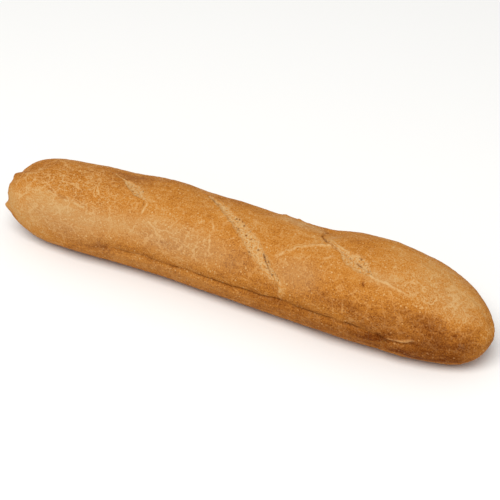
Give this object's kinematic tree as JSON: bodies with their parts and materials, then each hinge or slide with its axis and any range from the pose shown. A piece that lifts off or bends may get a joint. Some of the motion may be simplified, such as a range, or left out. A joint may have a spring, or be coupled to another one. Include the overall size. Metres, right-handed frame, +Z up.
{
  "type": "half baguette",
  "caption": "Short crusty white loaf, whole and uncut, with a blunt tail, a rounder head, a fold low along each side and shallow opened slashes across the crown.",
  "frame": {"origin": "on the surface the loaf rests on, under the middle of its bounding box", "axes": "+X along the loaf towards its rounder head, +Z up, the slashes facing -Y"},
  "size_m": [0.27, 0.0554, 0.0451],
  "materials": {
    "crust": "baked golden-brown crust, matt to faintly satin, finely wrinkled"
  },
  "bodies": {
    "root": {"loaf": "crust"}
  },
  "joints": []
}
